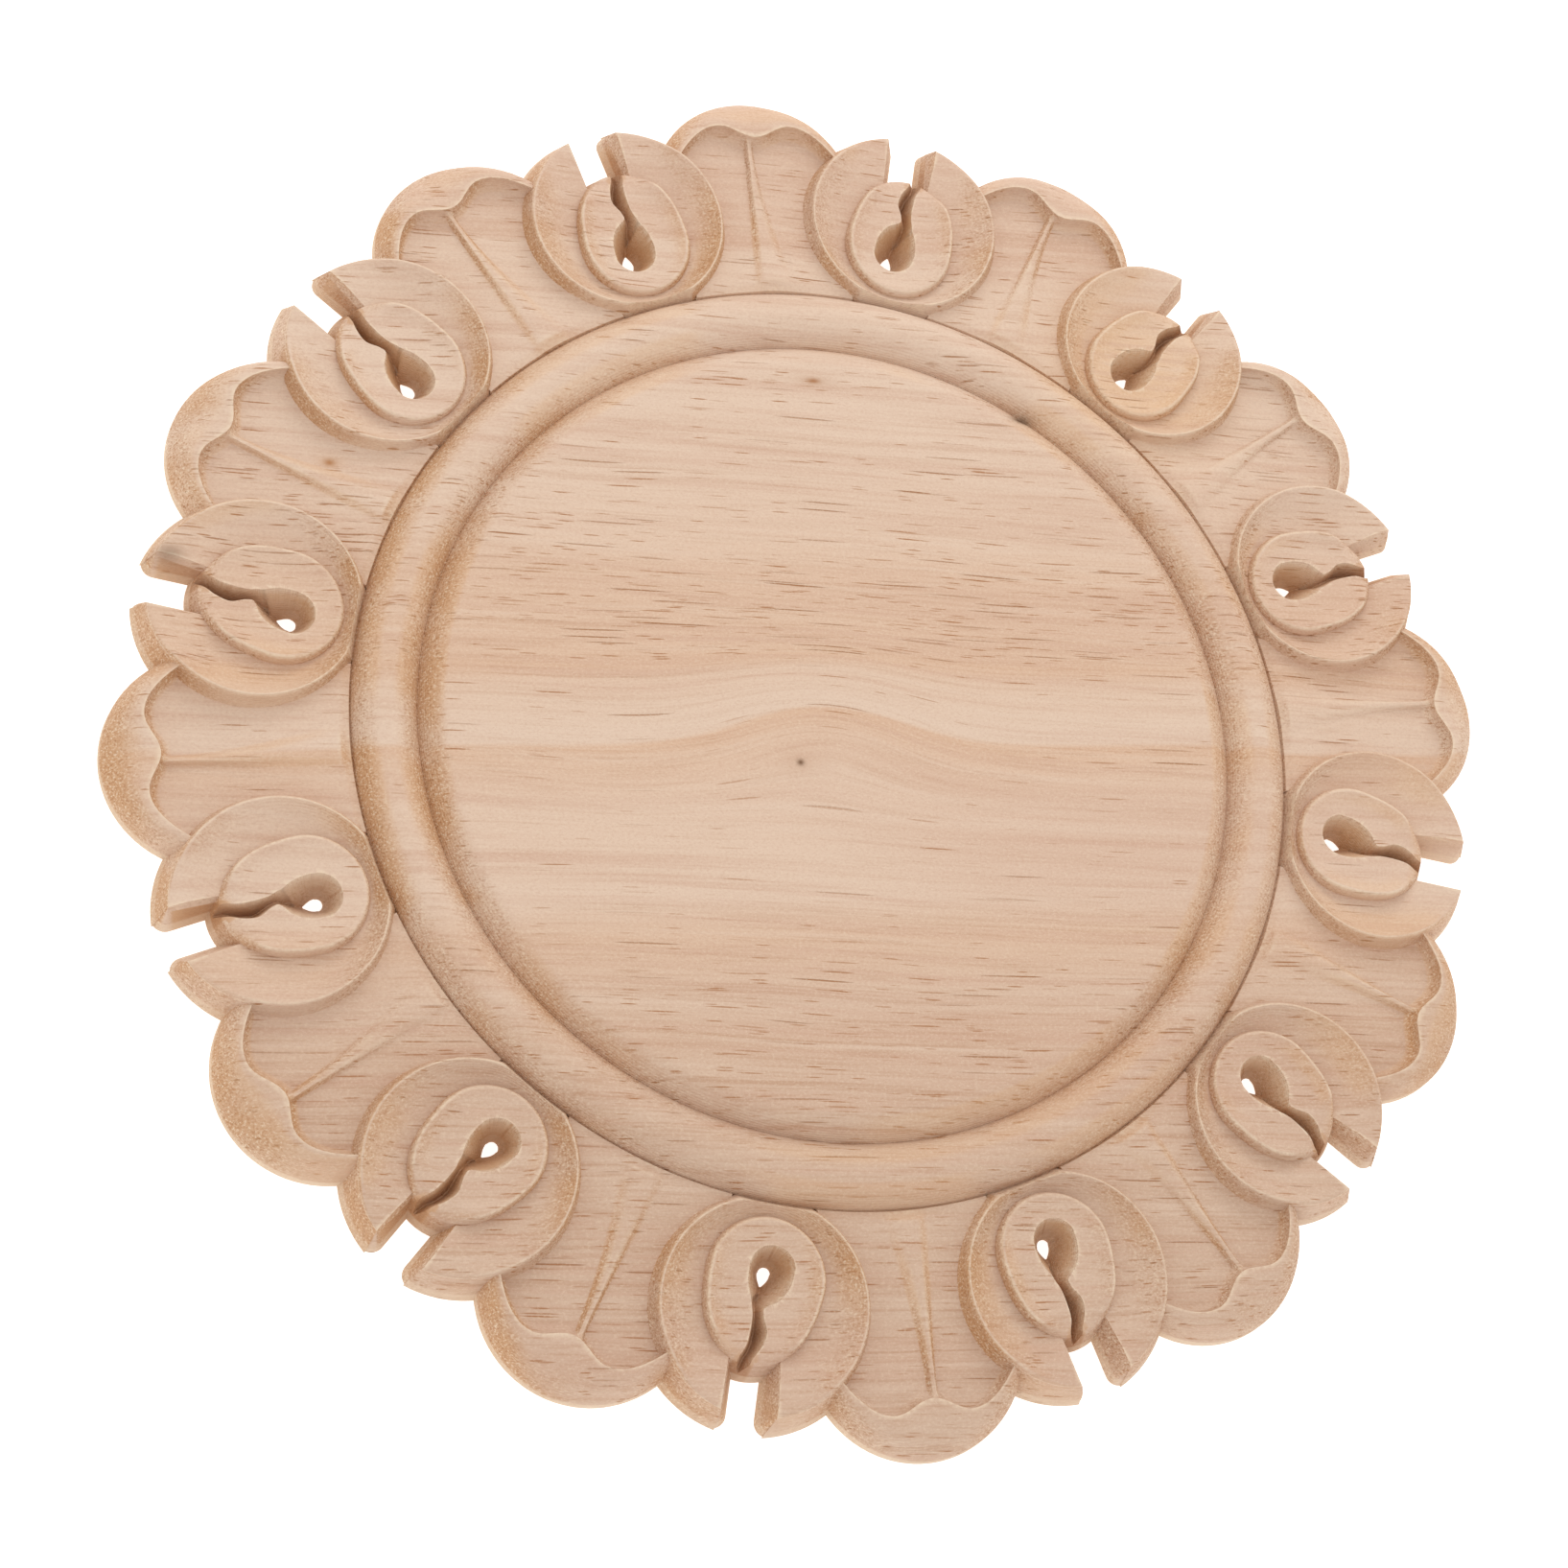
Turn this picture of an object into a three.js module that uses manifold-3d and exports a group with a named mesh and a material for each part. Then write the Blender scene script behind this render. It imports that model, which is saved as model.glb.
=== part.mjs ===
// Round rosette carved in one piece of wood: a flat disc, a bead ring round it, and twelve scalloped
// petals with a pierced bud between each two. Millimetres, +Z up.
// The back is flat and lies on Z = 0, the carved face looks up, and a petal points along +Y.

import * as THREE from 'three';
import { mergeVertices } from 'three/addons/utils/BufferGeometryUtils.js';
import Module from 'manifold-3d';

const wasm = await Module();
wasm.setup();

// Sizes in plan
const petalCount = 12;
const overallDiameter = 300;
const grooveDiameter = 202.6; // thin groove between the bead ring and the petals
const beadWidth = 13.8;
const discEdgeWidth = 6.2; // where the disc rounds down to the inner groove
const rimWidthAtEnd = 3.3; // curled rim of a petal, where it runs out beside the buds
const veinWidthAtRim = 2.4;
const veinWidthAtGroove = 9;
const rimStepRun = 1.8; // sideways run of the step from a rim down to the petal floor
const gapWidth = 11.6; // between the two tips of a bud's leaves, at the top of the cut

// Heights above the back
const grooveHeight = 5.8;
const innerGrooveHeight = 6.9;
const beadHeight = 10.3;
const discHeight = 10.5;
const rimHeight = 8.1;
const petalFootHeight = 5.1; // petal floor beside its rim
const petalRootHeight = 6.9; // petal floor beside the groove
const veinRise = 1.3;
const scoopDepth = 0.5;
const leafEdgeHeight = 7.8;
const leafCrestHeight = 9.4;
const leafHollowHeight = 7.6;
const leafTipHeight = 7.5;
const troughHeight = 6; // between a leaf and the heart of its bud
const heartEdgeHeight = 7.8;
const heartCrestHeight = 8.8;
const heartFloorHeight = 7.4;

// Sideways run of a cut wall for each millimetre of its depth
const cutSlope = 0.38;
const grooveSlope = 0.7;

// Overlaps that let the pieces join, and how far a cutter stands clear of what it cuts
const lap = 2;
const clearance = 1;

// Carving in plan. "Along" is a share of the petal band's width, measured out from the groove.
// "Across" is a share of the pitch from one bud to the next.
const leaf = {
  centre: 0.416,
  along: 0.441,
  across: 0.337,
  tipStart: THREE.MathUtils.degToRad(58),
  tipEnd: THREE.MathUtils.degToRad(16),
};
const heart = { centre: 0.302, along: 0.25, across: 0.191, tip: 0.105, tipSharpness: 2.3 };
const petal = {
  centre: 0.533,
  across: 0.356,
  halfAngle: THREE.MathUtils.degToRad(66),
  rimFullness: 0.85,
};
const rimEdge = { valley: 0.76, rise: 0.056, peakAcross: 0.123, fall: 0.125, fallAcross: 0.14 };

// Keyhole of the bud from its round end to its mouth: place along, middle and half width across
const keyhole = [
  [0.162, -0.016, 0.003],
  [0.198, -0.012, 0.052],
  [0.26, -0.014, 0.075],
  [0.343, -0.009, 0.067],
  [0.395, -0.002, 0.046],
  [0.427, 0.016, 0.021],
  [0.52, 0.003, 0.029],
  [0.583, 0.009, 0.026],
  [0.631, 0.025, 0.02],
  [0.72, 0.032, 0.02],
];
const slotFloorWidth = 0.3;
const tipRounding = 0.3; // drop from the top of a leaf's tip to its edge

// How finely the round stretches are divided
const turnSteps = 48;
const budSteps = 18;
const petalSteps = 4; // on either side of the vein

const up = new THREE.Vector3(0, 0, 1);
const grooveRadius = grooveDiameter / 2;
const outerRadius = overallDiameter / 2;
const band = outerRadius - grooveRadius;
const sector = 2 * Math.PI / petalCount;
const along = share => grooveRadius + share * band;
const pitch = sector * along(leaf.centre);
const across = share => share * pitch;
const { lerp, smoothstep } = THREE.MathUtils;

// Corners of a flat loop in its own plane
function flatten(loop) {
  const normal = new THREE.Vector3();
  loop.forEach((point, i) => {
    normal.add(new THREE.Vector3().crossVectors(point, loop[(i + 1) % loop.length]));
  });
  normal.normalize();
  const side = Math.abs(normal.z) > 0.5 ? new THREE.Vector3(1, 0, 0) : up.clone();
  side.addScaledVector(normal, -side.dot(normal)).normalize();
  const rise = new THREE.Vector3().crossVectors(normal, side);
  return loop.map(point => new THREE.Vector2(point.dot(side), point.dot(rise)));
}

// Triangles that close a loop, counter-clockwise about its own normal
function capFaces(loop) {
  const corners = flatten(loop);
  return THREE.ShapeUtils.triangulateShape(corners, []).map(([a, b, c]) => {
    const first = corners[b].clone().sub(corners[a]);
    const second = corners[c].clone().sub(corners[a]);
    return first.cross(second) < 0 ? [a, c, b] : [a, b, c];
  });
}

function signedVolume(points, faces) {
  let volume = 0;
  for (let i = 0; i < faces.length; i += 3) {
    const [a, b, c] = [points[faces[i]], points[faces[i + 1]], points[faces[i + 2]]];
    volume += a.dot(new THREE.Vector3().crossVectors(b, c)) / 6;
  }
  return volume;
}

// Closed body through a row of loops that all have the same number of points
function loft(loops) {
  const count = loops[0].length;
  const points = loops.flat();
  const faces = [];
  for (let row = 0; row + 1 < loops.length; row++) {
    for (let i = 0; i < count; i++) {
      const a = row * count + i;
      const b = row * count + (i + 1) % count;
      faces.push(a, b, b + count, a, b + count, a + count);
    }
  }
  const last = (loops.length - 1) * count;
  capFaces(loops[0]).forEach(([a, b, c]) => faces.push(a, c, b));
  capFaces(loops.at(-1)).forEach(([a, b, c]) => faces.push(last + a, last + b, last + c));
  if (signedVolume(points, faces) < 0) faces.reverse();
  const geometry = new THREE.BufferGeometry().setFromPoints(points);
  geometry.setIndex(faces);
  return geometry;
}

function toSolid(geometry) {
  const bare = geometry.clone();
  bare.deleteAttribute('normal');
  bare.deleteAttribute('uv');
  const merged = mergeVertices(bare);
  return new wasm.Manifold(new wasm.Mesh({
    numProp: 3,
    vertProperties: new Float32Array(merged.attributes.position.array),
    triVerts: new Uint32Array(merged.index.array),
  }));
}

function toGeometry(solid) {
  const mesh = solid.getMesh();
  const geometry = new THREE.BufferGeometry();
  geometry.setAttribute('position', new THREE.BufferAttribute(mesh.vertProperties, 3));
  geometry.setIndex(new THREE.BufferAttribute(mesh.triVerts, 1));
  return geometry;
}

function turned(profile) {
  return new THREE.LatheGeometry(profile, turnSteps).rotateX(Math.PI / 2);
}

// Level loop about a centre, from a function that gives the reach at each angle from outward
function levelLoop(centreAlong, reach, height) {
  return Array.from({ length: budSteps }, (_, i) => {
    const angle = 2 * Math.PI * i / budSteps;
    const [sideways, outward] = reach(angle);
    return new THREE.Vector3(-sideways, along(centreAlong) + outward, height);
  });
}

function mixLoops(outer, inner, share, height) {
  return outer.map((point, i) => point.clone().lerp(inner[i], share).setZ(height));
}

// Disc and bead ring
function makeCore() {
  const innerGrooveRadius = grooveRadius - beadWidth;
  const shoulderRadius = innerGrooveRadius - discEdgeWidth;
  const profile = [
    new THREE.Vector2(0, 0),
    new THREE.Vector2(grooveRadius, 0),
    new THREE.Vector2(grooveRadius, grooveHeight),
  ];
  const beadSteps = 6;
  for (let i = 1; i < beadSteps; i++) {
    const angle = Math.PI * i / beadSteps;
    const base = lerp(grooveHeight, innerGrooveHeight, i / beadSteps);
    profile.push(new THREE.Vector2(
      grooveRadius - beadWidth / 2 * (1 - Math.cos(angle)),
      base + (beadHeight - base) * Math.sin(angle),
    ));
  }
  profile.push(new THREE.Vector2(innerGrooveRadius, innerGrooveHeight));
  const edgeSteps = 3;
  for (let i = 1; i <= edgeSteps; i++) {
    const share = i / edgeSteps;
    profile.push(new THREE.Vector2(
      lerp(innerGrooveRadius, shoulderRadius, share),
      lerp(innerGrooveHeight, discHeight, 1 - (1 - share) ** 2),
    ));
  }
  profile.push(new THREE.Vector2(0, discHeight));
  return toSolid(turned(profile));
}

// Cone that leaves the outer side of the groove sloping up to the petals and leaves
function makeGrooveCutter() {
  const top = Math.max(leafCrestHeight, rimHeight, heartCrestHeight) + clearance;
  return toSolid(turned([
    new THREE.Vector2(0, grooveHeight),
    new THREE.Vector2(grooveRadius, grooveHeight),
    new THREE.Vector2(grooveRadius + grooveSlope * (top - grooveHeight), top),
    new THREE.Vector2(0, top),
  ]));
}

// How far a place on a leaf has come down to the height of its tip
function tipShare(angle) {
  return smoothstep(Math.cos(angle), Math.cos(leaf.tipStart), Math.cos(leaf.tipEnd));
}

function lowerTips(loop) {
  loop.forEach((point, i) => {
    point.z = lerp(point.z, leafTipHeight, tipShare(2 * Math.PI * i / budSteps));
  });
  return loop;
}

// Outline of the leaves where their sloping side wall has risen to a height
function leafLoop(heightAt) {
  const loop = levelLoop(leaf.centre, angle => {
    const grow = cutSlope * (leafEdgeHeight - heightAt(angle));
    return [
      (across(leaf.across) + grow) * Math.sin(angle),
      (leaf.along * band + grow) * Math.cos(angle),
    ];
  }, 0);
  loop.forEach((point, i) => point.setZ(heightAt(2 * Math.PI * i / budSteps)));
  return loop;
}

function heartLoop(grow, height) {
  return levelLoop(heart.centre, angle => {
    const tip = heart.tip * band * Math.max(0, Math.cos(angle)) ** heart.tipSharpness;
    return [
      (across(heart.across) + tip + grow) * Math.sin(angle),
      (heart.along * band + tip + grow) * Math.cos(angle),
    ];
  }, height);
}

// Pair of leaves that clasp the heart, with a raised edge and a hollow inside it
function makeLeaves() {
  const edge = leafLoop(angle => lerp(leafEdgeHeight, leafTipHeight - tipRounding, tipShare(angle)));
  const trough = heartLoop(0, troughHeight);
  return toSolid(loft([
    leafLoop(() => 0),
    edge,
    lowerTips(mixLoops(edge, trough, 0.14, leafCrestHeight)),
    lowerTips(mixLoops(edge, trough, 0.4, leafHollowHeight)),
    trough,
  ]));
}

// Tapered cut between the tips of the two leaves
function makeGapCutter() {
  const top = leafCrestHeight + clearance;
  const halfAt = height => gapWidth / 2 + cutSlope * (height - leafEdgeHeight);
  const section = outward => [
    new THREE.Vector3(halfAt(-clearance), outward, -clearance),
    new THREE.Vector3(halfAt(top), outward, top),
    new THREE.Vector3(-halfAt(top), outward, top),
    new THREE.Vector3(-halfAt(-clearance), outward, -clearance),
  ];
  return toSolid(loft([section(along(heart.centre + heart.along)), section(outerRadius + lap)]));
}

// Dished heart of the bud, rounded at its edge and lower at its tip and its root
function makeHeart() {
  const tipStart = along(heart.centre + heart.along);
  const tipEnd = along(heart.centre + heart.along + heart.tip);
  const rootEnd = along(heart.centre - heart.along);
  const fade = loop => {
    loop.forEach(point => {
      const towardTip = smoothstep(point.y, tipStart - band * 0.06, tipEnd);
      const towardRoot = 1 - smoothstep(point.y, rootEnd, along(heart.centre));
      point.z = lerp(point.z, troughHeight, Math.max(0.85 * towardTip, 0.35 * towardRoot));
    });
    return loop;
  };
  const radius = heart.along * band;
  return toSolid(loft([
    heartLoop(cutSlope * troughHeight, 0),
    heartLoop(0, troughHeight),
    fade(heartLoop(-0.17 * radius, heartCrestHeight)),
    fade(heartLoop(-0.56 * radius, heartFloorHeight)),
  ]));
}

// How fast the keyhole widens on the way out, about one of its stations
function keyholeWidening(i) {
  const before = keyhole[Math.max(i - 1, 0)];
  const after = keyhole[Math.min(i + 1, keyhole.length - 1)];
  return across(after[2] - before[2]) / (along(after[0]) - along(before[0]));
}

// Tapered keyhole: its round end goes through to the back and its narrow slot stays blind.
// Its walls run in square to its outline, so a section's floor also moves along the keyhole.
function makeKeyholeCutter() {
  const top = heartCrestHeight + clearance;
  const sections = keyhole.map(([place, middle, half], i) => {
    const widening = keyholeWidening(i);
    const acrossRun = cutSlope / Math.hypot(1, widening);
    const depth = Math.max(0, (across(half) - slotFloorWidth / 2) / acrossRun);
    const floor = Math.max(-clearance, heartEdgeHeight - depth);
    const corner = (side, height) => new THREE.Vector3(
      across(middle) + side * (across(half) - acrossRun * (heartEdgeHeight - height)),
      along(place) + widening * acrossRun * (heartEdgeHeight - height),
      height,
    );
    return [corner(1, top), corner(-1, top), corner(-1, floor), corner(1, floor)];
  });
  return toSolid(loft(sections));
}

function makeBud() {
  return makeLeaves().subtract(makeGapCutter()).add(makeHeart()).subtract(makeKeyholeCutter());
}

// Inner edge of a petal's rim: two arches that meet in a valley over the vein
function rimEdgeAlong(sideways) {
  const share = Math.abs(sideways) / pitch;
  if (share < rimEdge.peakAcross) {
    const rise = Math.sin(Math.PI / 2 * share / rimEdge.peakAcross) ** 2;
    return along(rimEdge.valley + rimEdge.rise * rise);
  }
  const fall = ((share - rimEdge.peakAcross) / rimEdge.fallAcross) ** 2;
  return along(rimEdge.valley + rimEdge.rise - rimEdge.fall * fall);
}

// Distance from a petal's middle line to a place just inside the neighbouring leaf
function petalSide(outward) {
  const leafMiddle = along(leaf.centre);
  const reach = leaf.along * band - lap;
  const off = outward - leafMiddle * Math.cos(sector / 2);
  const chord = Math.sqrt(Math.max(0, 1 - (off / reach) ** 2)) * (across(leaf.across) - lap);
  return leafMiddle * Math.sin(sector / 2) - chord;
}

// Upright slice of a petal. "Share" runs from 0 at the vein's flank to 1 at the petal's side.
function petalSlice(side, share, rise) {
  const centre = along(petal.centre);
  const endSideways = (across(petal.across) - rimWidthAtEnd) * Math.sin(petal.halfAngle);
  const innerSideways = lerp(side * veinWidthAtRim / 2, side * endSideways, share);
  const angle = Math.asin(innerSideways / (across(petal.across) - rimWidthAtEnd));
  const foot = new THREE.Vector3(
    across(petal.across) * Math.sin(angle),
    centre + (outerRadius - centre) * Math.cos(angle),
    0,
  );
  const edge = new THREE.Vector3(innerSideways, rimEdgeAlong(innerSideways), 0);
  const slice = [0, 0.5, 1].map(turn => foot.clone()
    .lerp(edge, (1 - Math.cos(turn * Math.PI / 2)) ** petal.rimFullness)
    .setZ(rimHeight * Math.sin(turn * Math.PI / 2)));

  const root = grooveRadius - lap;
  const edgeFoot = edge.y - rimStepRun;
  [1, 0.65, 0.3, 0].forEach(out => {
    const middle = lerp(root, edgeFoot, out);
    const vein = side * lerp(veinWidthAtGroove, veinWidthAtRim, out) / 2;
    const wall = out === 1 ? endSideways : petalSide(middle);
    const sideways = lerp(vein, side * wall, share);
    const outward = out === 0 ? Math.sqrt(root ** 2 - sideways ** 2) : middle;
    const floor = lerp(petalRootHeight, petalFootHeight, smoothstep(out, 0, 1));
    const scoop = scoopDepth * Math.sin(Math.PI * share) * Math.sin(Math.PI * out);
    slice.push(new THREE.Vector3(sideways, outward, floor - scoop + rise * lerp(0.4, 1, out)));
  });
  slice.push(slice.at(-1).clone().setZ(0));
  return slice;
}

function makePetal() {
  const slices = [];
  for (let i = petalSteps; i >= 0; i--) slices.push(petalSlice(-1, i / petalSteps, 0));
  slices.push(petalSlice(0, 0, veinRise));
  for (let i = 0; i <= petalSteps; i++) slices.push(petalSlice(1, i / petalSteps, 0));
  return toSolid(loft(slices));
}

// Whole rosette
function makeRosette() {
  const petalGeometry = toGeometry(makePetal());
  const budGeometry = toGeometry(makeBud());
  let carving = null;
  for (let i = 0; i < petalCount; i++) {
    const onePetal = toSolid(petalGeometry.clone().rotateZ(i * sector));
    const oneBud = toSolid(budGeometry.clone().rotateZ((i + 0.5) * sector));
    const pair = onePetal.add(oneBud);
    carving = carving ? carving.add(pair) : pair;
  }
  return toGeometry(carving.subtract(makeGrooveCutter()).add(makeCore()));
}

const wood = new THREE.MeshStandardMaterial({ color: 0xd2b499, roughness: 0.72, metalness: 0 });
const rosette = new THREE.Mesh(makeRosette(), wood);
rosette.name = 'carved_rosette';

const part = new THREE.Group();
part.add(rosette);

export default part;
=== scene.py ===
import math

import bpy
import numpy as np
from bpy.props import FloatProperty, FloatVectorProperty, IntProperty, PointerProperty
from mathutils import Euler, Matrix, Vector


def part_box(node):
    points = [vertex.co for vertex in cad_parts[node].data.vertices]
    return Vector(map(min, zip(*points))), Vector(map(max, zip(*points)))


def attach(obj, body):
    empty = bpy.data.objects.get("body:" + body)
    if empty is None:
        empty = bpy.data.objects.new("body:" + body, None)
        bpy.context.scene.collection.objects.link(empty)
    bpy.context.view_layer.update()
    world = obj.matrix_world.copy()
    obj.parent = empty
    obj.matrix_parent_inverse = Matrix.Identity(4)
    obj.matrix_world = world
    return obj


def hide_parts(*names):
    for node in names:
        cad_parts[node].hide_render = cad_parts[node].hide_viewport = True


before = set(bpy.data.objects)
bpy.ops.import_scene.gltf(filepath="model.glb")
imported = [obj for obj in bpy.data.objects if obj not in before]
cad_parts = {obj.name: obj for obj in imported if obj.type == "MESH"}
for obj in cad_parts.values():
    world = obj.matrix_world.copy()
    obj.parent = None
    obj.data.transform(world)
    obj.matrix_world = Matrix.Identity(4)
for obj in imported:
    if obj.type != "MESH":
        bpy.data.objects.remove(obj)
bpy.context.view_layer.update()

bl_info = {
    "name": "Carved Wood Rosette",
    "version": (1, 0, 0),
    "blender": (4, 5, 0),
    "location": "3D View > Sidebar > Rosette",
    "description": "Carves a round wooden rosette with petals and pierced buds, and lights it",
    "category": "Add Mesh",
}

NODE = "carved_rosette"
LOW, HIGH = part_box(NODE)
MM = 0.001

# Carving in plan. "Along" is a share of the petal band's width, measured out from the groove.
# "Across" is a share of the pitch from one bud to the next.
LEAF = {"centre": 0.416, "along": 0.441, "across": 0.337, "tip_start": 58, "tip_end": 16}
HEART = {"centre": 0.302, "along": 0.25, "across": 0.191, "tip": 0.105, "sharpness": 2.3,
         "lean": 6}
PETAL = {"centre": 0.533, "across": 0.356, "half_angle": 66, "fullness": 0.95,
         "shoulder": 28}
RIM = {"valley": 0.76, "rise": 0.056, "peak": 0.123, "fall": 0.125, "fall_across": 0.14}
HOLE = {"centre": 0.26, "reach": 0.098, "middle": -0.016, "half": 0.075}

# Keyhole beyond its round end: place along, middle and half width across, and run of its walls
SLOT = (
    (0.26, -0.014, 0.075, 0.45),
    (0.343, -0.009, 0.067, 0.56),
    (0.395, -0.002, 0.046, 0.54),
    (0.427, 0.014, 0.023, 0.36),
    (0.452, 0.012, 0.0205, 0.34),
    (0.52, 0.003, 0.029, 0.32),
    (0.583, 0.012, 0.027, 0.32),
    (0.631, 0.03, 0.028, 0.34),
    (0.72, 0.04, 0.034, 0.38),
)

# How finely the round stretches are divided
TURN_STEPS = 360
BUD_STEPS = 120
PETAL_STEPS = 14
SLOT_STEPS = 70
ROUND_END_STEPS = 15
BEAD_STEPS = 30
RIM_STEPS = 10
DISC_EDGE_STEPS = 10

# Rows of a petal's floor, from the rim (1) to the groove (0), turns of the step inside its rim in
# degrees, and slices across its vein
FLOOR_ROWS = (1, 0.93, 0.86, 0.78, 0.69, 0.6, 0.51, 0.42, 0.34, 0.27, 0.22, 0.18, 0.155, 0.135,
              0.115, 0.1, 0.085, 0)
STEP_TURNS = (12, 25, 40, 55, 70)
VEIN_SLICES = (0.06, 0.13, 0.2, 0.3, 0.45, 0.62, 0.78, 0.85, 0.92, 0.97)

# Rows of a leaf and of a heart: over the bevel as shares of its width, then over the hollow
LEAF_BEVEL_ROWS = (0.06, 0.18, 0.35, 0.55, 0.8, 1.0, 1.2, 1.45)
LEAF_HOLLOW_ROWS = (0.05, 0.11, 0.18, 0.26, 0.35, 0.45, 0.56, 0.68, 0.8, 0.91)
HEART_BEVEL_ROWS = (0.03, 0.12, 0.28, 0.5, 0.75, 1.0, 1.2, 1.45)
HEART_HOLLOW_ROWS = (0.06, 0.13, 0.21, 0.3, 0.4, 0.52, 0.66, 0.82, 1.0)

# Overlap that lets two bodies join, how far a cutter stands clear of what it cuts, the top of the
# groove's cutter, how far the edge of a leaf's tip lies below its top, how far a crest is rounded
# as a share of its bevel, points that count as one, and the angle that stays a sharp edge
LAP = 2 * MM
CLEAR = 1 * MM
CUTTER_TOP = 12 * MM
TIP_DROP = 0.25 * MM
CREST_ROUNDING = 0.3
SAME_POINT = 2e-6
SHARP_ANGLE = math.radians(34)

# Studio, in metres and degrees
FLOOR_REACH = 4.0
FLOOR_DROP = 0.3 * MM
KEY_PLACE = (0.24, 0.76, 0.53)
KEY_SIZE = 0.56
CAMERA_PLACE = (-0.1916, -0.1929, 0.5723)
CAMERA_TURN = (19.139, -15.15, -7.589)


# ---------------------------------------------------------------- sizes and looks to change

def length(name, description, default):
    return FloatProperty(name=name, description=description, default=default, min=0.0,
                         precision=5, unit="LENGTH")


def share(name, description, default):
    return FloatProperty(name=name, description=description, default=default, min=0.0, max=1.0,
                         subtype="FACTOR")


def colour(name, description, default):
    return FloatVectorProperty(name=name, description=description, default=default, size=3,
                               min=0.0, max=1.0, subtype="COLOR")


class RosetteSizes(bpy.types.PropertyGroup):
    """Sizes of the carving"""
    petals: IntProperty(name="Petals", description="Petals round the ring, and buds between them",
                        default=12, min=6, max=24)
    diameter: length("Diameter", "Across the petals", HIGH.x - LOW.x)
    groove: length("Groove", "Diameter of the groove round the bead ring", 202.6 * MM)
    bead_width: length("Bead width", "Width of the bead ring", 13.8 * MM)
    bead: length("Bead height", "Top of the bead ring above the back", 10.3 * MM)
    disc: length("Disc height", "Top of the disc above the back", HIGH.z - LOW.z)
    disc_edge: length("Disc edge", "Width over which the disc rounds down", 6.2 * MM)
    groove_floor: length("Groove floor", "Bottom of the outer groove above the back", 5.5 * MM)
    groove_inset: length("Groove inset", "From the layout circle to the groove's bottom", 0.4 * MM)
    inner_floor: length("Inner groove floor", "Bottom of the inner groove", 6.3 * MM)
    rim: length("Rim height", "Top of a petal's curled rim", 8.1 * MM)
    rim_wall: length("Rim wall", "Height of the upright wall below a petal's rim", 2.0 * MM)
    rim_end: length("Rim end", "Width of the rim where it runs out", 3.3 * MM)
    rim_step: length("Rim step", "Run of the hollow step inside the rim", 2.4 * MM)
    petal_foot: length("Petal foot", "Petal floor beside its rim", 5.1 * MM)
    petal_root: length("Petal root", "Petal floor beside the groove", 6.9 * MM)
    root_roll: length("Root roll", "Width over which a petal rolls down to the groove", 2.2 * MM)
    petal_scoop: length("Petal scoop", "How far the petal floor is dished", 0.5 * MM)
    vein: length("Vein", "How far the vein stands up at the rim", 1.3 * MM)
    leaf_edge: length("Leaf edge", "Outer edge of the leaves", 7.8 * MM)
    leaf_crest: length("Leaf crest", "Raised line inside the leaf's edge", 9.4 * MM)
    bevel: length("Crest bevel", "Width of the bevel outside a leaf's crest", 0.95 * MM)
    leaf_tip: length("Leaf tip", "Height of the leaf's tip", 7.5 * MM)
    trough: length("Trough", "Bottom of the cut round the heart", 6.0 * MM)
    heart_crest: length("Heart crest", "Raised line round the heart", 8.8 * MM)
    heart_floor: length("Heart floor", "Dish of the heart", 7.4 * MM)
    gap: length("Gap", "Width between the two leaf tips", 11.6 * MM)
    cut_slope: share("Cut slope", "Sideways run of a cut wall per depth", 0.38)

    def sector(self):
        return 2 * math.pi / self.petals

    def band(self):
        return (self.diameter - self.groove) / 2

    def along(self, part):
        return self.groove / 2 + part * self.band()

    def across(self, part):
        return part * self.sector() * self.along(LEAF["centre"])


class WoodLook(bpy.types.PropertyGroup):
    """Colours and grain of the wood"""
    pale: colour("Pale", "Light bands of the wood", (0.705, 0.532, 0.41))
    tan: colour("Tan", "Darker bands of the wood", (0.655, 0.435, 0.298))
    # Darker copy of the pale tone, laid toward the lower edge
    lower_dark: colour("Dull", "Greyer wood toward the lower edge", (0.56, 0.42, 0.325))
    rose: colour("Rose", "Pinkish bands", (0.585, 0.37, 0.265))
    pore: colour("Pore", "Open pores along the grain", (0.37, 0.158, 0.062))
    flank: colour("End grain", "Slopes that cut across the grain", (0.55, 0.3, 0.145))
    # Lint colour, also used for the painted highlight on crests and the painted light on low
    # upright walls
    lint_and_highlight: colour("Lint", "Fine lint on crests and rough slopes", (0.8, 0.64, 0.47))
    knot: colour("Knot", "Knots and dark marks", (0.11, 0.052, 0.022))
    golden: colour("Golden", "Yellow stain on one bud and in patches on slopes", (0.7, 0.41, 0.19))
    grain_turn: FloatProperty(name="Grain", description="Direction of the grain about the axis",
                              default=math.radians(-5.02), subtype="ANGLE")
    roughness: share("Roughness", "Roughness of the bare wood", 0.78)


class StudioLook(bpy.types.PropertyGroup):
    """Floor, light and camera"""
    floor: colour("Floor", "Colour of the floor", (0.9, 0.9, 0.9))
    key_power: FloatProperty(name="Key light", description="Power of the large lamp",
                             default=1.95, min=0.0, unit="POWER")
    sky: FloatProperty(name="Sky", description="Strength of the even light", default=1.0, min=0.0)
    lens: FloatProperty(name="Lens", description="Focal length in millimetres", default=69.26,
                        min=1.0)


# ---------------------------------------------------------------- meshes from rows of loops

def smooth(low, high, value):
    """Eased step from 0 at low to 1 at high"""
    part = np.clip((value - low) / (high - low), 0.0, 1.0)
    return part * part * (3 - 2 * part)


def loop_of(x, y, z):
    """Row of points from coordinates that may be single numbers"""
    return np.stack(np.broadcast_arrays(x, y, z), axis=1).astype(float)


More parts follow.
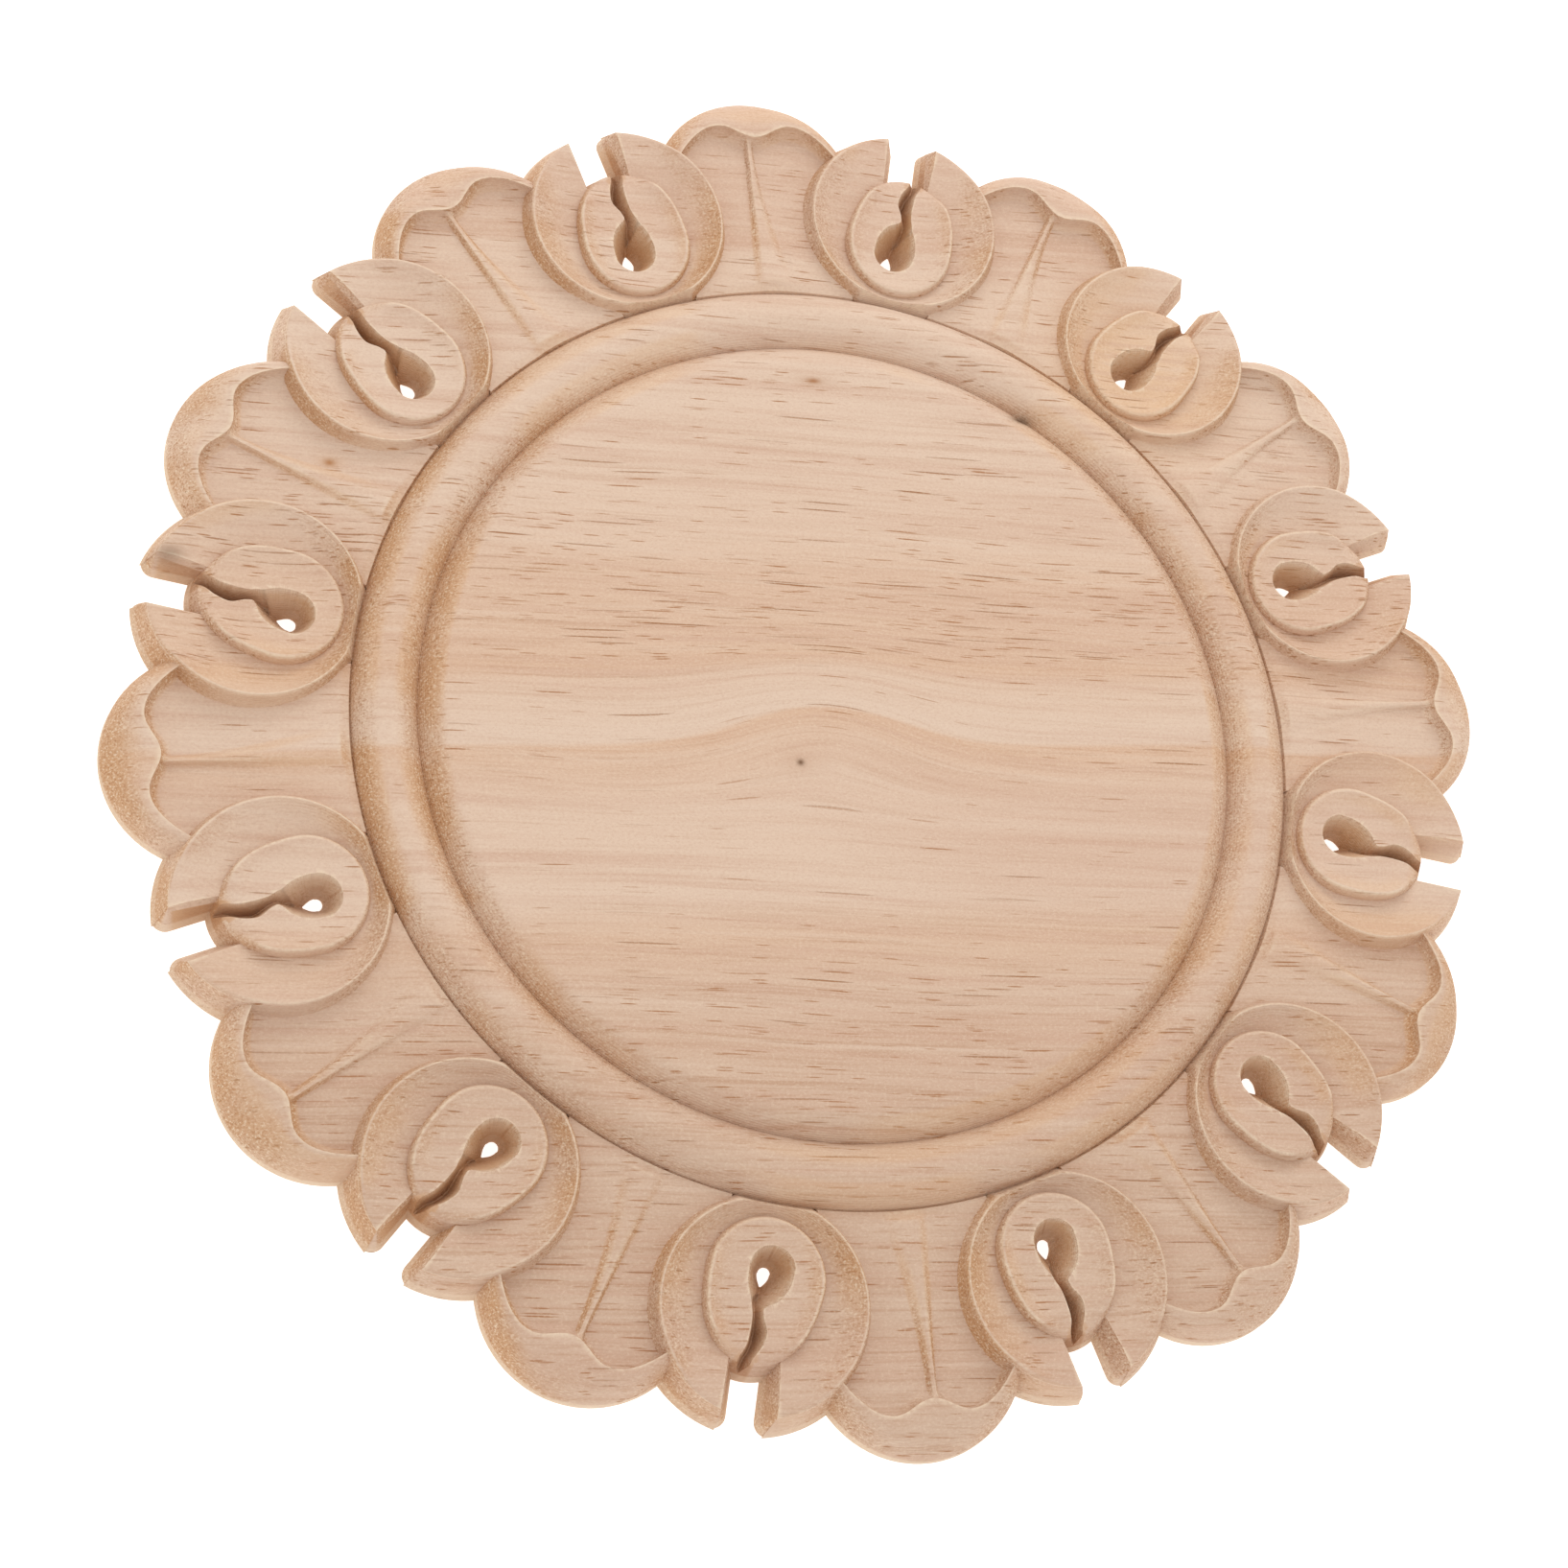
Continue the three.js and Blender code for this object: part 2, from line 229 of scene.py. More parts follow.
def loft(name, loops):
    """Closed body through a row of loops that all have the same number of points"""
    count = len(loops[0])
    points = np.concatenate(loops)
    here = np.arange(count)
    after = (here + 1) % count
    faces = []
    for row in range(len(loops) - 1):
        base = row * count
        faces.extend(np.stack([base + here, base + after, base + count + after,
                               base + count + here], axis=1).tolist())
    faces.append(here[::-1].tolist())
    faces.append((here + (len(loops) - 1) * count).tolist())
    mesh = bpy.data.meshes.new(name)
    mesh.from_pydata(points.tolist(), [], faces)
    if signed_volume(mesh) < 0:
        mesh.flip_normals()
    body = bpy.data.objects.new(name, mesh)
    bpy.context.scene.collection.objects.link(body)
    return body


def signed_volume(mesh):
    mesh.calc_loop_triangles()
    corners = np.array([t.vertices[:] for t in mesh.loop_triangles])
    points = np.array([v.co[:] for v in mesh.vertices])[corners]
    return np.einsum("ij,ij->", points[:, 0], np.cross(points[:, 1], points[:, 2])) / 6


def turned(name, profile):
    """Body of revolution from (radius, height) pairs that run from the back to the top"""
    angle = np.linspace(0, 2 * math.pi, TURN_STEPS, endpoint=False)
    return loft(name, [loop_of(r * np.cos(angle), r * np.sin(angle), z) for r, z in profile])


def trim(body, *cutters, operation="DIFFERENCE"):
    """Cuts the cutters out of a body, or joins them to it, and clears them away"""
    for cutter in cutters:
        cut = body.modifiers.new("cut", "BOOLEAN")
        cut.operation = operation
        cut.solver = "MANIFOLD"
        cut.object = cutter
    view = bpy.context.evaluated_depsgraph_get()
    before = body.data
    body.data = bpy.data.meshes.new_from_object(body.evaluated_get(view), depsgraph=view)
    body.modifiers.clear()
    bpy.data.meshes.remove(before)
    for cutter in cutters:
        bpy.data.objects.remove(cutter)
    if not body.data.polygons:
        raise RuntimeError(f"{body.name} came out empty")
    return body


# ---------------------------------------------------------------- bud

def bud_angles():
    return np.linspace(0, 2 * math.pi, BUD_STEPS, endpoint=False)


def tip_share():
    """How far each place on a leaf has come down to the height of its tip"""
    start, end = (math.cos(math.radians(LEAF[key])) for key in ("tip_start", "tip_end"))
    return smooth(start, end, np.cos(bud_angles()))


def leaf_loop(s, height):
    grow = s.cut_slope * (s.leaf_edge - height)
    angle = bud_angles()
    return loop_of(
        -(s.across(LEAF["across"]) + grow) * np.sin(angle),
        s.along(LEAF["centre"]) + (LEAF["along"] * s.band() + grow) * np.cos(angle),
        height,
    )


def heart_loop(s, grow, height):
    angle = bud_angles()
    toward_tip = np.cos(angle + math.radians(HEART["lean"]))
    tip = HEART["tip"] * s.band() * np.maximum(0, toward_tip) ** HEART["sharpness"]
    return loop_of(
        -(s.across(HEART["across"]) + tip + grow) * np.sin(angle),
        s.along(HEART["centre"]) + (HEART["along"] * s.band() + tip + grow) * np.cos(angle),
        height,
    )


def rolled(part):
    """Quarter round from an edge (0) to the crest above it (1)"""
    return np.sqrt(1 - (1 - np.clip(part, 0, 1)) ** 2)


def softened(profile, places, spread):
    """Heights of a profile with its ridges and corners rounded a little"""
    return np.mean([profile(places + step) for step in np.linspace(-spread, spread, 7)], axis=0)


def make_leaves(s):
    """Pair of leaves that clasp the heart: bevelled crest, then a hollow down to the trough"""
    tip = tip_share()
    edge = leaf_loop(s, s.leaf_edge + (s.leaf_tip - TIP_DROP - s.leaf_edge) * tip)
    trough = heart_loop(s, -0.4 * MM, s.trough)
    width = np.linalg.norm((trough - edge)[:, :2], axis=1)
    crest = s.bevel

    def body(inset):
        rise = s.leaf_edge + (s.leaf_crest - s.leaf_edge) * rolled(inset / crest)
        inward = np.clip((inset - crest) / (width - crest), 0, 1)
        hollow = s.trough + (s.leaf_crest - s.trough) * (1 - inward) ** 1.9
        return np.where(inset < crest, rise, hollow)

    def blade(inset):
        rise = s.leaf_tip - TIP_DROP * (1 - rolled(inset / crest))
        inward = np.clip((inset - crest) / (width - crest), 0, 1)
        hollow = s.trough + (s.leaf_tip - s.trough) * (1 - inward ** 1.6)
        return np.where(inset < crest, rise, hollow)

    insets = [np.full(BUD_STEPS, part * crest) for part in LEAF_BEVEL_ROWS]
    past = LEAF_BEVEL_ROWS[-1] * crest
    insets += [past + (width - past) * part for part in LEAF_HOLLOW_ROWS]
    loops = [leaf_loop(s, np.zeros(BUD_STEPS)), edge]
    for inset in insets:
        high = softened(body, inset, CREST_ROUNDING * crest)
        low = softened(blade, inset, CREST_ROUNDING * crest)
        loop = edge + (trough - edge) * (inset / width)[:, None]
        loop[:, 2] = high + (low - high) * tip
        loops.append(loop)
    return loft("leaves", loops + [trough])


def make_gap_cutter(s):
    """Tapered cut between the two leaf tips. A tip is sharp on top, and below it the cut turns
    round the corner as a cone, as a tapered cutter leaves it."""
    top = s.leaf_tip - TIP_DROP
    heights = np.array([-1.0, 1.5, 4.0, 6.0, top / MM, 8.0, 9.0, 11.5]) * MM
    half = s.gap / 2 + s.cut_slope * (top - s.leaf_edge)
    grow = s.cut_slope * (s.leaf_edge - top)
    wide, deep = s.across(LEAF["across"]) + grow, LEAF["along"] * s.band() + grow
    corner = s.along(LEAF["centre"]) + deep * math.sqrt(1 - (half / wide) ** 2)
    last = math.pi / 2 - math.atan2(half / wide ** 2, math.sqrt(1 - (half / wide) ** 2) / deep)
    radius = np.maximum(s.cut_slope * (top - heights), 0.02 * MM)
    flare = half + s.cut_slope * np.maximum(heights - top, 0)
    inner = s.along(HEART["centre"] + HEART["along"])
    sides = [(flare - radius, np.full(len(heights), inner))]
    sides += [(flare - radius * math.cos(turn), corner + radius * math.sin(turn))
              for turn in np.linspace(0, last, 9)]
    clear = radius + 4 * MM
    sides.append((flare - clear * math.cos(last), corner + clear * math.sin(last)))
    loops = [np.concatenate([loop_of(x, y, heights), loop_of(-x, y, heights)[::-1]])
             for x, y in sides]
    return loft("gap", loops)


def make_heart(s):
    """Dished heart of the bud, bevelled at its edge and lower at its tip and root"""
    radius = HEART["along"] * s.band()
    tip_from = s.along(HEART["centre"] + HEART["along"]) - 0.02 * s.band()
    tip_to = s.along(HEART["centre"] + HEART["along"] + HEART["tip"])
    root = s.along(HEART["centre"] - HEART["along"])
    middle = s.along(HEART["centre"])
    crest = 1.15 * s.bevel

    def profile(inset):
        inward = np.clip((inset - crest) / (0.55 * radius - crest), 0, 1)
        dish = s.heart_crest - (s.heart_crest - s.heart_floor) * (1 - (1 - inward) ** 2)
        rise = s.trough + (s.heart_crest - s.trough) * rolled(inset / crest) ** 0.8
        return np.where(inset < crest, rise, dish)

    loops = [heart_loop(s, s.cut_slope * s.trough, 0), heart_loop(s, 0, s.trough)]
    insets = [part * crest for part in HEART_BEVEL_ROWS]
    past = HEART_BEVEL_ROWS[-1] * crest
    insets += [past + (0.9 * radius - past) * part for part in HEART_HOLLOW_ROWS]
    for inset in insets:
        height = float(softened(profile, inset, CREST_ROUNDING * crest))
        loop = heart_loop(s, -inset, height)
        lower = np.maximum(0.85 * smooth(tip_from, tip_to, loop[:, 1]),
                           0.35 * (1 - smooth(root, middle, loop[:, 1])))
        loop[:, 2] += (s.trough - loop[:, 2]) * lower * (height > s.trough)
        loops.append(loop)
    return loft("heart", loops)


def slot_stations():
    """Keyhole outline: a half circle, then smooth curves through the slot's places"""
    turn = np.radians(np.linspace(4, 90, ROUND_END_STEPS + 1)[:-1])
    still = np.ones(len(turn))
    round_end = np.stack([HOLE["centre"] - HOLE["reach"] * np.cos(turn), HOLE["middle"] * still,
                          HOLE["half"] * np.sin(turn), SLOT[0][3] * still], axis=1)
    known = np.array(SLOT)
    steep = np.diff(known[:, 1:], axis=0) / np.diff(known[:, :1], axis=0)
    slope = np.zeros_like(known[:, 1:])
    slope[1:-1] = (steep[1:] + steep[:-1]) / 2
    slope[-1] = steep[-1]
    place = np.linspace(known[0, 0], known[-1, 0], SLOT_STEPS)
    piece = np.clip(np.searchsorted(known[:, 0], place, side="right") - 1, 0, len(known) - 2)
    wide = (known[piece + 1, 0] - known[piece, 0])[:, None]
    t = ((place - known[piece, 0])[:, None]) / wide
    curve = ((2 * t ** 3 - 3 * t ** 2 + 1) * known[piece, 1:]
             + (t ** 3 - 2 * t ** 2 + t) * wide * slope[piece]
             + (3 * t ** 2 - 2 * t ** 3) * known[piece + 1, 1:]
             + (t ** 3 - t ** 2) * wide * slope[piece + 1])
    return np.concatenate([round_end, np.concatenate([place[:, None], curve], axis=1)])


def make_keyhole_cutter(s):
    """Tapered keyhole. Its round end goes through to the back and its slot stays blind."""
    stations = slot_stations()
    top = s.heart_crest + CLEAR
    place = s.along(stations[:, 0])
    middle = s.across(stations[:, 1])
    half = s.across(stations[:, 2])
    widening = np.gradient(half, place)
    loops = []
    for y, x, wide, turn, slope in zip(place, middle, half, widening, stations[:, 3]):
        run = slope / math.hypot(1, turn)
        floor = max(-CLEAR, s.leaf_edge - max(0, (wide - 0.15 * MM) / run))
        loops.append(np.array([
            (x + side * (wide - run * (s.leaf_edge - z)), y + turn * run * (s.leaf_edge - z), z)
            for side, z in ((1, top), (-1, top), (-1, floor), (1, floor))
        ]))
    return loft("keyhole", loops)


# ---------------------------------------------------------------- petal

def rim_edge(s, sideways):
    """Inner edge of a petal's rim: two arches that meet in a valley over the vein"""
    part = abs(sideways) / s.across(1)
    if part < RIM["peak"]:
        rise = math.sin(math.pi / 2 * part / RIM["peak"]) ** 2
        return s.along(RIM["valley"] + RIM["rise"] * rise)
    fall = ((part - RIM["peak"]) / RIM["fall_across"]) ** 2
    return s.along(RIM["valley"] + RIM["rise"] - RIM["fall"] * fall)


def petal_side(s, outward):
    """Distance from a petal's middle line to a place just inside the neighbouring leaf"""
    middle = s.along(LEAF["centre"])
    off = outward - middle * math.cos(s.sector() / 2)
    chord = math.sqrt(max(0, 1 - (off / (LEAF["along"] * s.band() - LAP)) ** 2))
    return middle * math.sin(s.sector() / 2) - chord * (s.across(LEAF["across"]) - LAP)


def vein_edges(out):
    """Left and right foot of the vein, which narrows from the groove (0) to the rim (1)"""
    left = -2.2 - 3.0 * (1 - out) ** 1.4
    right = 0.1 + 7.2 * (1 - out) ** 1.8
    return left * MM, right * MM


def petal_slice(s, region, part):
    """Upright slice of a petal, at a share of the way across one of its regions"""
    reach = s.across(PETAL["across"])
    centre = s.along(PETAL["centre"])
    end = (reach - s.rim_end) * math.sin(math.radians(PETAL["half_angle"]))

    def sideways(out, wall):
        left, right = vein_edges(out)
        if region == "left":
            return left + (-wall - left) * part
        if region == "right":
            return right + (wall - right) * part
        return left + (right - left) * part

    inner = sideways(1, end)
    angle = math.asin(inner / (reach - s.rim_end))
    foot = np.array([reach * math.sin(angle), centre + (s.diameter / 2 - centre) * math.cos(angle)])
    edge = np.array([inner, rim_edge(s, inner)])
    points = [(*foot, 0.0)]
    first = math.radians(PETAL["shoulder"])
    inward = (edge - foot) / np.linalg.norm(edge - foot)
    wall = foot + inward * 0.12 * s.rim_wall
    for turn in np.linspace(first, math.pi / 2, RIM_STEPS + 1):
        plan = wall + (edge - wall) * (1 - math.cos(turn) / math.cos(first)) ** PETAL["fullness"]
        lift = (math.sin(turn) - math.sin(first)) / (1 - math.sin(first))
        points.append((*plan, s.rim_wall + (s.rim - s.rim_wall) * lift))

    root = s.groove / 2 - LAP
    edge_foot = edge[1] - s.rim_step
    rise = 0.0
    if region == "vein":
        rise = smooth(0, 0.28, part) * (1 - smooth(0.52, 1.0, part))

    def floor_height(out, far=1.0):
        dish = 0 if region == "vein" else math.sin(math.pi * part) * math.sin(math.pi * out)
        body = s.petal_root + (s.petal_foot - s.petal_root) * smooth(0, 1, out)
        near = max(0, 1 - max(0, far - s.groove / 2) / s.root_roll)
        lip = (s.petal_root - s.groove_floor) * 0.75 * near ** 2.2
        return body - lip - s.petal_scoop * dish + rise * s.vein * (0.5 + 0.5 * out) * (1 - near)

    top = s.rim
    low = floor_height(1)
    for turn in np.radians(STEP_TURNS):
        points.append((inner, edge[1] - s.rim_step * (1 - math.cos(turn)),
                       top + (low - top) * math.sin(turn)))
    for out in FLOOR_ROWS:
        middle = root + (edge_foot - root) * out
        side = min(end, petal_side(s, middle))
        x = sideways(out, side + (end - side) * smooth(0.55, 1, out))
        y = middle - (middle - math.sqrt(middle ** 2 - x ** 2)) * (1 - smooth(0.15, 0.7, out))
        points.append((x, y, floor_height(out, math.hypot(x, y))))
    points.append((points[-1][0], points[-1][1], 0.0))
    return np.array(points)


def make_petal(s):
    """One petal, from its left side over the vein to its right side"""
    spread = np.linspace(0, 1, PETAL_STEPS + 1)
    slices = [petal_slice(s, "left", part) for part in spread[::-1]]
    slices += [petal_slice(s, "vein", part) for part in VEIN_SLICES]
    slices += [petal_slice(s, "right", part) for part in spread]
    return loft("petal", slices)


# ---------------------------------------------------------------- geometry nodes

class NodeSheet:
    """A node tree that is built up one node at a time"""

    def __init__(self, tree):
        self.tree = tree

    def put(self, socket, value):
        for one in value if isinstance(value, list) else [value]:
            one = one.socket if isinstance(one, Wire) else one
            if isinstance(one, bpy.types.NodeSocket):
                self.tree.links.new(one, socket)
            else:
                socket.default_value = one

    def add(self, kind, settings=None, inputs=None, output=0):
        """One node: its settings first, then its sockets. Gives back one output as a wire."""
        node = self.tree.nodes.new(kind)
        for name, value in (settings or {}).items():
            if name == "stops":
                ramp = node.color_ramp
                while len(ramp.elements) < len(value):
                    ramp.elements.new(1.0)
                for element, (place, tone) in zip(ramp.elements, value):
                    element.position = place
                    element.color = (*tone, 1.0)
            else:
                setattr(node, name, value)
        for name, value in (inputs or {}).items():
            self.put(node.inputs[name], value)
        return Wire(self, node.outputs[output]) if len(node.outputs) else node


class Wire:
    """An output socket. Sums and products of wires add their Math nodes."""

    def __init__(self, sheet, socket):
        self.sheet = sheet
        self.socket = socket

    def math(self, operation, *values):
        return self.sheet.add("ShaderNodeMath", {"operation": operation}, dict(enumerate(values)))

    def other(self, name):
        """Another output of the same node"""
        return Wire(self.sheet, self.socket.node.outputs[name])

    def __add__(self, value):
        return self.math("ADD", self, value)

    def __radd__(self, value):
        return self.math("ADD", value, self)

    def __sub__(self, value):
        return self.math("SUBTRACT", self, value)

    def __mul__(self, value):
        return self.math("MULTIPLY", self, value)

    def __rmul__(self, value):
        return self.math("MULTIPLY", value, self)

    def __truediv__(self, value):
        return self.math("DIVIDE", self, value)

    def __rtruediv__(self, value):
        return self.math("DIVIDE", value, self)

    def __neg__(self):
        return self.math("MULTIPLY", self, -1.0)

    def __abs__(self):
        return self.math("ABSOLUTE", self)


def rosette_tree(wood):
    """Repeats the petal and the bud round the axis, joins them and adds the turned disc"""
    tree = bpy.data.node_groups.new("Rosette", "GeometryNodeTree")
    face = tree.interface
    face.new_socket("Geometry", in_out="OUTPUT", socket_type="NodeSocketGeometry")
    for name, kind in (("Petals", "NodeSocketInt"), ("Petal", "NodeSocketObject"),
                       ("Bud", "NodeSocketObject"), ("Groove", "NodeSocketObject"),
                       ("Disc", "NodeSocketObject"), ("Wood", "NodeSocketMaterial")):
        face.new_socket(name, in_out="INPUT", socket_type=kind)
    sheet = NodeSheet(tree)
    given = sheet.add("NodeGroupInput")
    count = given.other("Petals")

    def shape(name):
        return sheet.add("GeometryNodeObjectInfo", inputs={"Object": given.other(name)},
                         output="Geometry")

    def round_the_axis(name, offset):
        place = sheet.add("GeometryNodeInputIndex")
        turn = (place + offset) * (2 * math.pi / count)
        spin = sheet.add("ShaderNodeCombineXYZ", inputs={"Z": turn})
        points = sheet.add("GeometryNodePoints", inputs={"Count": count})
        return sheet.add("GeometryNodeInstanceOnPoints",
                         inputs={"Points": points, "Instance": shape(name), "Rotation": spin})

    def combine(operation, inputs):
        return sheet.add("GeometryNodeMeshBoolean", {"operation": operation, "solver": "MANIFOLD"},
                         inputs)

    ring = combine("UNION", {"Mesh 2": [round_the_axis("Petal", 0.0), round_the_axis("Bud", 0.5)]})
    ring = combine("DIFFERENCE", {"Mesh 1": ring, "Mesh 2": [shape("Groove")]})
    whole = combine("UNION", {"Mesh 2": [ring, shape("Disc")]})
    whole = sheet.add("GeometryNodeMergeByDistance", inputs={
        "Geometry": whole, "Distance": SAME_POINT})
    whole = sheet.add("GeometryNodeRealizeInstances", inputs={"Geometry": whole})
    whole = sheet.add("GeometryNodeSetMaterial",
                      inputs={"Geometry": whole, "Material": given.other("Wood")})
    sheet.add("NodeGroupOutput", inputs={"Geometry": whole})
    return tree


def grow_from_tree(name, tree, values):
    """Plain mesh object from a tree and the values of its named inputs"""
    maker = bpy.data.objects.new(name + "_maker", bpy.data.meshes.new(name + "_maker"))
    bpy.context.scene.collection.objects.link(maker)
    modifier = maker.modifiers.new(name, "NODES")
    modifier.node_group = tree
    for item in tree.interface.items_tree:
        if item.in_out == "INPUT":
            modifier[item.identifier] = values[item.name]
    view = bpy.context.evaluated_depsgraph_get()
    mesh = bpy.data.meshes.new_from_object(maker.evaluated_get(view), depsgraph=view)
    mesh.name = name
    bpy.data.objects.remove(maker)
    if not mesh.polygons:
        raise RuntimeError(f"{name} came out empty")
    piece = bpy.data.objects.new(name, mesh)
    bpy.context.scene.collection.objects.link(piece)
    return piece


# ---------------------------------------------------------------- wood

def note(mesh, name, values):
    """Keeps one number per point on the mesh, for the wood to read"""
    mesh.attributes.new(name, "FLOAT", "POINT").data.foreach_set("value", values.astype(np.float32))


def note_crest_highlights(mesh, points):
    """How sharply each point stands out from its neighbours, which sets the painted highlight and
    the lint on crests
    """
    normals = np.empty(len(points) * 3)
    mesh.vertices.foreach_get("normal", normals)
    normals = normals.reshape(-1, 3)
    ends = np.empty(len(mesh.edges) * 2, dtype=int)
    mesh.edges.foreach_get("vertices", ends)
    bend = np.zeros(len(points))
    for here, there in (ends.reshape(-1, 2).T, ends.reshape(-1, 2)[:, ::-1].T):
        step = points[here] - points[there]
        far = np.maximum(np.linalg.norm(step, axis=1), 1e-7)
        np.maximum.at(bend, here, np.einsum("ij,ij->i", normals[here], step) / far)
    note(mesh, "crest", smooth(0.1, 0.32, bend) * smooth(6 * MM, 7 * MM, points[:, 2]))


def note_keyholes(mesh, points, s):
    """How deep each point lies in a keyhole, more so in the slot than in the round end. The wood
    uses it for warmer cut walls and for painted shade deeper down.
    """
    stations = slot_stations()
    turn = np.mod(np.arctan2(points[:, 1], points[:, 0]) - math.pi / 2, s.sector()) - s.sector() / 2
    far = np.hypot(points[:, 0], points[:, 1])
    out = (far * np.cos(turn) - s.groove / 2) / s.band()
    side = -far * np.sin(turn) / s.across(1)
    order = np.argsort(stations[:, 0])
    middle, half = (np.interp(out, stations[order, 0], stations[order, k]) for k in (1, 2))
    inside = (abs(side - middle) < half + 0.004) & (out > 0.15) & (out < SLOT[-1][0])
    deep = smooth(s.leaf_edge - 0.3 * MM, s.leaf_edge - 3 * MM, points[:, 2])
    note(mesh, "deep", inside * deep * (0.5 + 0.5 * smooth(0.38, 0.46, out)))


# Growth rings: place across the grain in millimetres from the middle, then the shares of the
# darker tone, of the pores and of fine dark lines
BANDS = ((-125, 0.95, 0.65, 0.8), (-84, 1.0, 0.65, 0.9), (-66, 1.0, 0.6, 0.9),
         (-59, 0.5, 0.45, 0.7), (-52, 0.75, 0.3, 0.9), (-46, 0.85, 0.15, 0.6),
         (-38, 0.15, 0.1, 0.15), (-27, 0.2, 0.05, 0.1), (-18, 0.25, 0.08, 0.1),
         (-11, 0.6, 0.1, 0.1), (-5.6, 1.0, 0.1, 0.1), (-4.8, 0.0, 0.1, 0.0), (2, 0.2, 0.12, 0.2),
         (8, 0.4, 0.2, 0.5), (11.5, 0.95, 0.4, 0.8), (15, 0.75, 1.15, 0.3), (33, 0.65, 1.15, 0.3),
         (42, 0.3, 0.85, 0.3), (60, 0.15, 0.6, 0.4), (84, 0.1, 0.5, 0.3), (104, 0.2, 0.5, 0.3),
         (111.6, 0.15, 0.4, 0.3), (112.6, 0.4, 0.5, 0.5), (125, 0.2, 0.5, 0.5))
BAND_REACH = 125

# Swell of the rings over the middle: place along the grain, half length, half width and height
SWELL = (-4 * MM, 24 * MM, 16 * MM, 9 * MM)

# Where the board turns pink toward its upper edge and darker toward its lower edge, across the
# grain
PINK_EDGE = (111.6 * MM, 112.6 * MM)
LOWER_DARK_EDGE = (-30 * MM, -85 * MM)

# Yellow stain on one bud: place along and across the grain, and how far it spreads
STAIN = (73.5 * MM, 86 * MM, 18 * MM)

# Three sizes of pore: cells per metre along, across and through the grain, reach of the pore in
# its cell, and how rare it is
PORES = (((26, 1100, 440), 0.21, 0.78), ((50, 1250, 480), 0.24, 0.7),
         ((110, 1500, 600), 0.25, 0.85))

# Distance between two lines that the cutter left on a slope, measured down
TOOL_LINES = 0.42 * MM

# Knots and marks: place along and across the grain, length and width, all in millimetres, depth
# and colour
MARKS = ((-9.2, -9.1, 0.8, 0.7, 0.9, "knot"), (-9.2, -9.1, 5.0, 3.2, 0.16, "pore"),
         (-2.3, 77.9, 1.5, 0.6, 0.9, "pore"), (-2.3, 77.9, 5.0, 1.6, 0.25, "pore"),
         (-105.2, 52.8, 1.1, 0.8, 1.0, "pore"), (-105.2, 52.8, 2.6, 1.6, 0.35, "flank"),
         (45.4, 73.6, 1.5, 0.8, 0.95, "knot"), (45.4, 73.6, 3.2, 1.3, 0.4, "knot"),
         (-137.0, 30.2, 3.0, 1.6, 0.45, "knot"))


